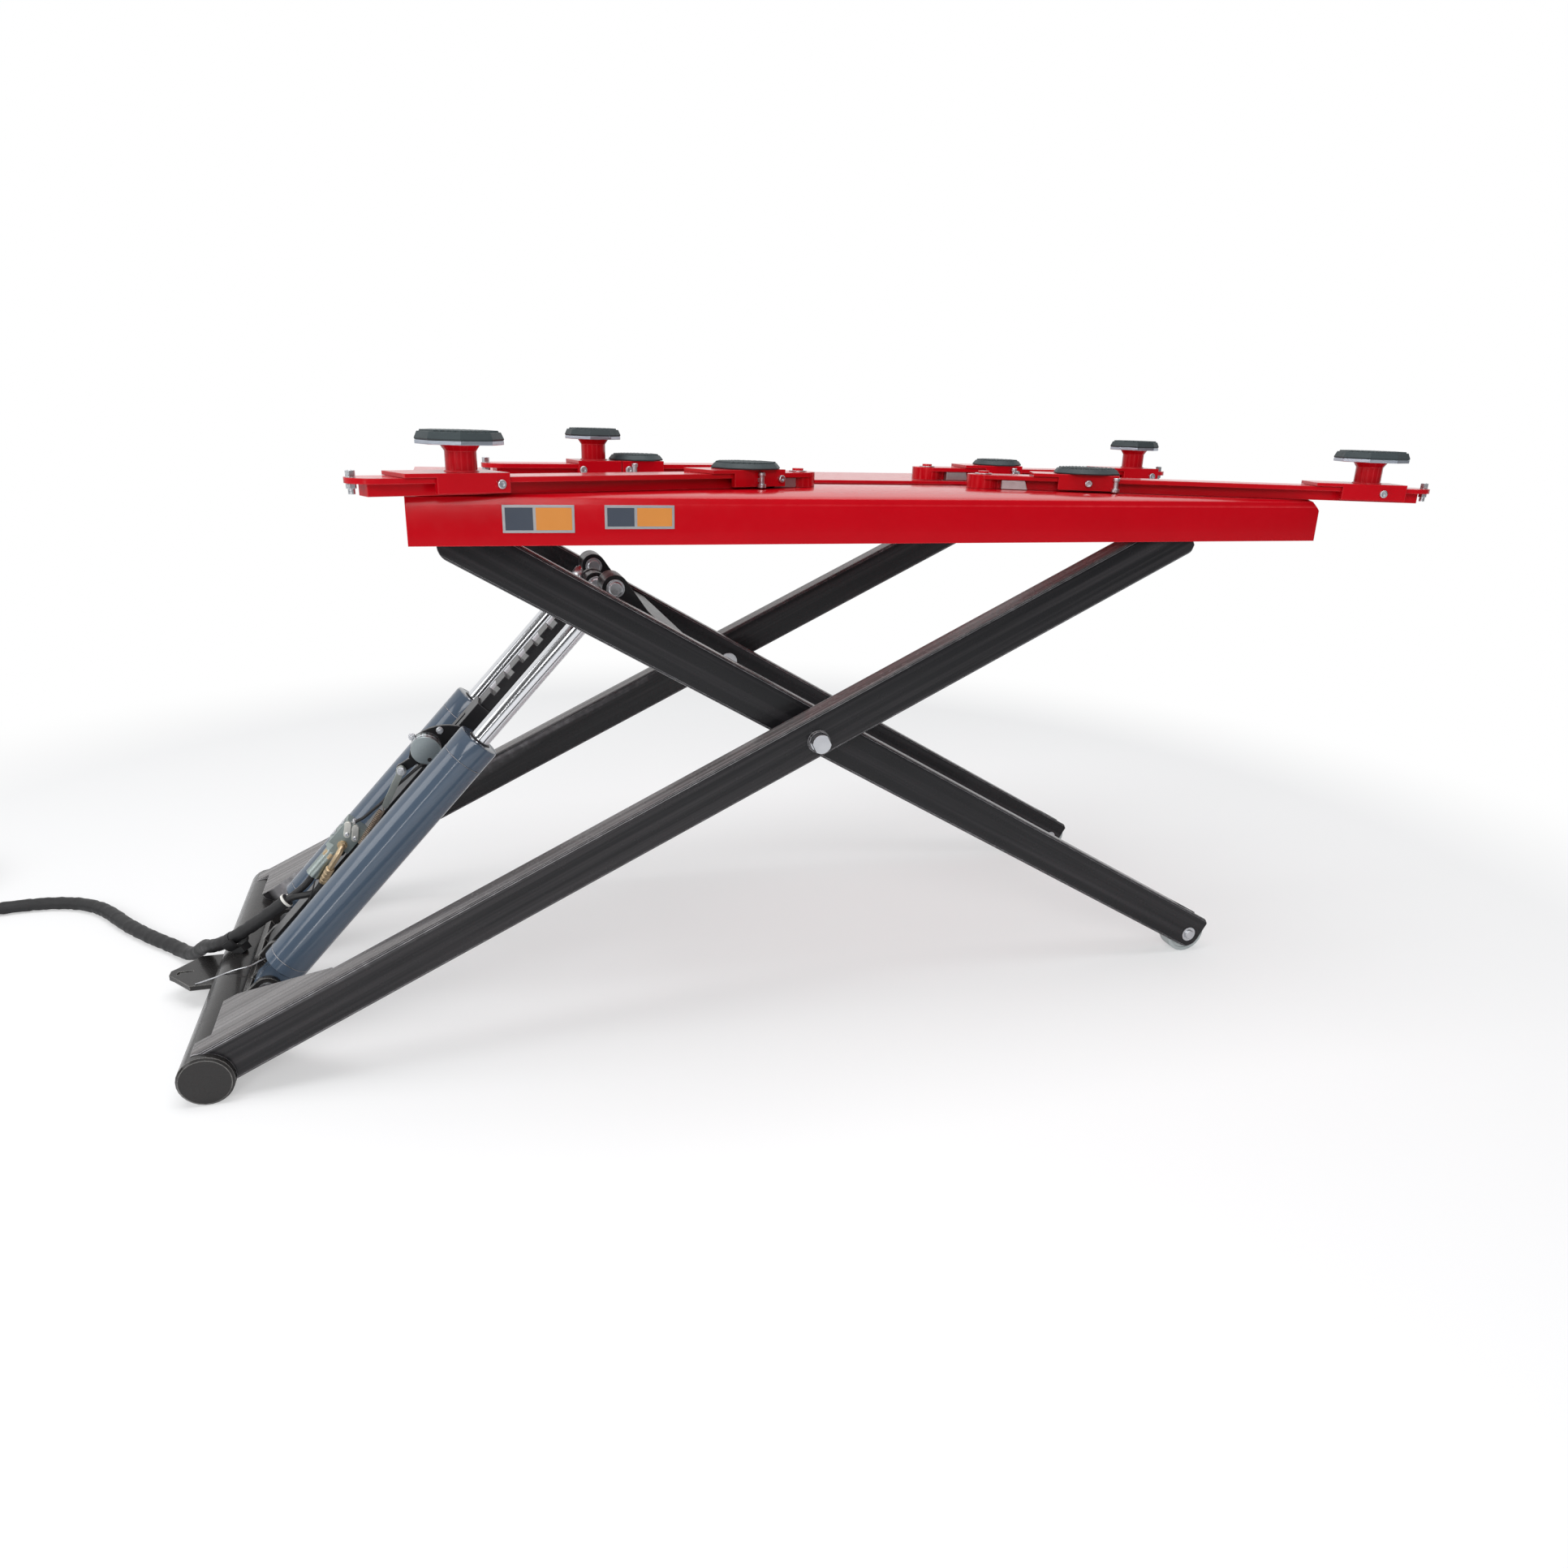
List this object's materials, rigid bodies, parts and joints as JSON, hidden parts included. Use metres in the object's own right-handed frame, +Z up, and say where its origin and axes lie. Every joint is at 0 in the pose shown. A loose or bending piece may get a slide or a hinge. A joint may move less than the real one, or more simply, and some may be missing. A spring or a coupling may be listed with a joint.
{
  "type": "scissor car lift",
  "caption": "Mobile hydraulic scissor lift with swing arms and sliding pads on a red platform, raised on two crossed pairs of dark legs.",
  "frame": {"origin": "on the floor under the middle of the base tube", "axes": "+X along the lift from the base tube to the floor rollers, +Y across it to the far side, +Z up"},
  "size_m": [3.3563, 1.3476, 1.0712],
  "materials": {
    "charcoal_paint": "semi-gloss charcoal powder coat with worn edges",
    "red_paint": "glossy red paint",
    "barrel_paint": "blue-grey paint, semi-gloss",
    "chromed_steel": "hard chromed rod",
    "zinc_steel": "zinc plated steel",
    "nylon_wheel": "pale nylon",
    "pad_rubber": "dark moulded rubber",
    "hose_sleeve": "black hose sleeve",
    "valve_alloy": "greenish grey anodised block"
  },
  "bodies": {
    "base": {"base_tube": "charcoal_paint", "hitch_plate": "charcoal_paint", "hose_clip": "hose_sleeve", "hose_run": "hose_sleeve", "hose_coil": "hose_sleeve", "hose_coupling": "zinc_steel"},
    "outer_frame": {"outer_leg_near": "charcoal_paint", "outer_leg_far": "charcoal_paint", "base_lugs": "charcoal_paint", "lower_pin_near": "zinc_steel", "lower_pin_far": "zinc_steel", "safety_lower_pin": "zinc_steel", "pivot_pin_near": "zinc_steel", "pivot_pin_far": "zinc_steel", "hose_lead": "hose_sleeve"},
    "inner_frame": {"inner_leg_near": "charcoal_paint", "inner_leg_far": "charcoal_paint", "cross_beam": "charcoal_paint", "roller_pin_near": "zinc_steel", "roller_pin_far": "zinc_steel"},
    "platform": {"side_beam_near": "red_paint", "side_beam_far": "red_paint", "cross_member_left": "red_paint", "cross_member_right": "red_paint", "platform_pin_near": "zinc_steel", "platform_pin_far": "zinc_steel"},
    "safety_sleeve": {"safety_sleeve": "charcoal_paint", "release_actuator": "zinc_steel", "valve_block": "valve_alloy", "return_spring": "zinc_steel"},
    "safety_bar": {"safety_bar": "charcoal_paint"},
    "release_lever": {"release_lever": "zinc_steel"},
    "slide_block_near": {"slide_block_near": "nylon_wheel"},
    "floor_roller_near": {"floor_roller_near": "nylon_wheel"},
    "barrel_near": {"barrel_near": "barrel_paint"},
    "rod_near": {"rod_near": "chromed_steel"},
    "slide_block_far": {"slide_block_far": "nylon_wheel"},
    "floor_roller_far": {"floor_roller_far": "nylon_wheel"},
    "barrel_far": {"barrel_far": "barrel_paint"},
    "rod_far": {"rod_far": "chromed_steel"},
    "arm_near_left": {"arm_near_left": "red_paint"},
    "tall_carrier_near_left": {"tall_carrier_near_left": "red_paint"},
    "low_carrier_near_left": {"low_carrier_near_left": "red_paint", "low_pad_near_left": "pad_rubber"},
    "tall_pad_near_left": {"tall_pad_near_left": "pad_rubber"},
    "arm_far_left": {"arm_far_left": "red_paint"},
    "tall_carrier_far_left": {"tall_carrier_far_left": "red_paint"},
    "low_carrier_far_left": {"low_carrier_far_left": "red_paint", "low_pad_far_left": "pad_rubber"},
    "tall_pad_far_left": {"tall_pad_far_left": "pad_rubber"},
    "arm_near_right": {"arm_near_right": "red_paint"},
    "tall_carrier_near_right": {"tall_carrier_near_right": "red_paint"},
    "low_carrier_near_right": {"low_carrier_near_right": "red_paint", "low_pad_near_right": "pad_rubber"},
    "tall_pad_near_right": {"tall_pad_near_right": "pad_rubber"},
    "arm_far_right": {"arm_far_right": "red_paint"},
    "tall_carrier_far_right": {"tall_carrier_far_right": "red_paint"},
    "low_carrier_far_right": {"low_carrier_far_right": "red_paint", "low_pad_far_right": "pad_rubber"},
    "tall_pad_far_right": {"tall_pad_far_right": "pad_rubber"}
  },
  "joints": [
    {"name": "lift", "type": "hinge", "parent": "base", "child": "outer_frame", "pos_m": [0, 0, 0.04445], "axis": [0, 1, 0], "range_deg": [0, 25.2], "deforming": ["hose_lead"]},
    {"name": "inner_fold", "type": "hinge", "parent": "outer_frame", "child": "inner_frame", "pos_m": [1.04441, 0, 0.56063], "axis": [0, 1, 0], "range_deg": [-54, 0]},
    {"name": "platform_level", "type": "hinge", "parent": "inner_frame", "child": "platform", "pos_m": [0.45407, 0, 0.89813], "axis": [0, 1, 0], "range_deg": [0, 28.8]},
    {"name": "slide_block_turn_near", "type": "hinge", "parent": "outer_frame", "child": "slide_block_near", "pos_m": [1.72729, -0.361, 0.89813], "axis": [0, 1, 0], "range_deg": [-25.4, 0]},
    {"name": "floor_roller_turn_near", "type": "hinge", "parent": "inner_frame", "child": "floor_roller_near", "pos_m": [1.94727, -0.299, 0.04445], "axis": [0, 1, 0], "continuous": true},
    {"name": "barrel_swing_near", "type": "hinge", "parent": "outer_frame", "child": "barrel_near", "pos_m": [0.06996, -0.1495, 0.08572], "axis": [0, 1, 0], "range_deg": [0, 16.6]},
    {"name": "rod_stroke_near", "type": "slide", "parent": "barrel_near", "child": "rod_near", "axis": [0.6719, 0, 0.7406], "range_m": [-0.2825, 0]},
    {"name": "slide_block_turn_far", "type": "hinge", "parent": "outer_frame", "child": "slide_block_far", "pos_m": [1.72729, 0.361, 0.89813], "axis": [0, 1, 0], "range_deg": [-25.4, 0]},
    {"name": "floor_roller_turn_far", "type": "hinge", "parent": "inner_frame", "child": "floor_roller_far", "pos_m": [1.94727, 0.299, 0.04445], "axis": [0, 1, 0], "continuous": true},
    {"name": "barrel_swing_far", "type": "hinge", "parent": "outer_frame", "child": "barrel_far", "pos_m": [0.06996, 0.1495, 0.08572], "axis": [0, 1, 0], "range_deg": [0, 16.6]},
    {"name": "rod_stroke_far", "type": "slide", "parent": "barrel_far", "child": "rod_far", "axis": [0.6719, 0, 0.7406], "range_m": [-0.2825, 0]},
    {"name": "sleeve_swing", "type": "hinge", "parent": "outer_frame", "child": "safety_sleeve", "pos_m": [0.06998, 0, 0.09019], "axis": [0, 1, 0], "range_deg": [0, 18.5]},
    {"name": "safety_bar_slide", "type": "slide", "parent": "safety_sleeve", "child": "safety_bar", "axis": [0.674, 0, 0.7387], "range_m": [-0.267, 0]},
    {"name": "release_lever_turn", "type": "hinge", "parent": "safety_sleeve", "child": "release_lever", "pos_m": [0.32685, -0.05, 0.44738], "axis": [0, 1, 0], "range_deg": [0, 8]},
    {"name": "arm_swing_near_left", "type": "hinge", "parent": "platform", "child": "arm_near_left", "pos_m": [1.07007, -0.135, 0.99213], "axis": [0, 0, 1], "range_deg": [-12, 60]},
    {"name": "tall_carrier_slide_near_left", "type": "slide", "parent": "arm_near_left", "child": "tall_carrier_near_left", "axis": [-0.9212, -0.3891, 0], "range_m": [-0.2, 0.03]},
    {"name": "low_carrier_slide_near_left", "type": "slide", "parent": "arm_near_left", "child": "low_carrier_near_left", "axis": [-0.9212, -0.3891, 0], "range_m": [-0.015, 0.15]},
    {"name": "tall_pad_turn_near_left", "type": "hinge", "parent": "tall_carrier_near_left", "child": "tall_pad_near_left", "pos_m": [0.46852, -0.38911, 1.05513], "axis": [0, 0, 1], "continuous": true},
    {"name": "arm_swing_far_left", "type": "hinge", "parent": "platform", "child": "arm_far_left", "pos_m": [1.07007, 0.135, 0.99213], "axis": [0, 0, -1], "range_deg": [-4, 60]},
    {"name": "tall_carrier_slide_far_left", "type": "slide", "parent": "arm_far_left", "child": "tall_carrier_far_left", "axis": [-0.9848, -0.1736, 0], "range_m": [0, 0.15]},
    {"name": "low_carrier_slide_far_left", "type": "slide", "parent": "arm_far_left", "child": "low_carrier_far_left", "axis": [-0.9848, -0.1736, 0], "range_m": [-0.18, 0]},
    {"name": "tall_pad_turn_far_left", "type": "hinge", "parent": "tall_carrier_far_left", "child": "tall_pad_far_left", "pos_m": [0.72147, 0.07353, 1.05513], "axis": [0, 0, 1], "continuous": true},
    {"name": "arm_swing_near_right", "type": "hinge", "parent": "platform", "child": "arm_near_right", "pos_m": [1.45007, -0.135, 0.99213], "axis": [0, 0, -1], "range_deg": [-12, 60]},
    {"name": "tall_carrier_slide_near_right", "type": "slide", "parent": "arm_near_right", "child": "tall_carrier_near_right", "axis": [0.9178, -0.3971, 0], "range_m": [-0.15, 0.04]},
    {"name": "low_carrier_slide_near_right", "type": "slide", "parent": "arm_near_right", "child": "low_carrier_near_right", "axis": [0.9178, -0.3971, 0], "range_m": [-0.05, 0.2]},
    {"name": "tall_pad_turn_near_right", "type": "hinge", "parent": "tall_carrier_near_right", "child": "tall_pad_near_right", "pos_m": [2.10353, -0.41778, 1.05513], "axis": [0, 0, 1], "continuous": true},
    {"name": "arm_swing_far_right", "type": "hinge", "parent": "platform", "child": "arm_far_right", "pos_m": [1.45007, 0.135, 0.99213], "axis": [0, 0, 1], "range_deg": [-8, 60]},
    {"name": "tall_carrier_slide_far_right", "type": "slide", "parent": "arm_far_right", "child": "tall_carrier_far_right", "axis": [0.9976, -0.0698, 0], "range_m": [-0.12, 0.012]},
    {"name": "low_carrier_slide_far_right", "type": "slide", "parent": "arm_far_right", "child": "low_carrier_far_right", "axis": [0.9976, -0.0698, 0], "range_m": [-0.03, 0.07]},
    {"name": "tall_pad_turn_far_right", "type": "hinge", "parent": "tall_carrier_far_right", "child": "tall_pad_far_right", "pos_m": [1.94088, 0.10068, 1.05513], "axis": [0, 0, 1], "continuous": true}
  ],
  "couplings": [
    {"joint": "inner_fold", "follows": "lift", "ratio": -2.1319},
    {"joint": "platform_level", "follows": "lift", "ratio": 1.1319},
    {"joint": "slide_block_turn_near", "follows": "lift", "ratio": -1},
    {"joint": "barrel_swing_near", "follows": "lift", "ratio": 0.64975},
    {"joint": "rod_stroke_near", "follows": "lift", "m_per_rad": -0.64033},
    {"joint": "slide_block_turn_far", "follows": "lift", "ratio": -1},
    {"joint": "barrel_swing_far", "follows": "lift", "ratio": 0.64975},
    {"joint": "rod_stroke_far", "follows": "lift", "m_per_rad": -0.64033},
    {"joint": "sleeve_swing", "follows": "lift", "ratio": 0.72377},
    {"joint": "safety_bar_slide", "follows": "lift", "m_per_rad": -0.60554}
  ]
}
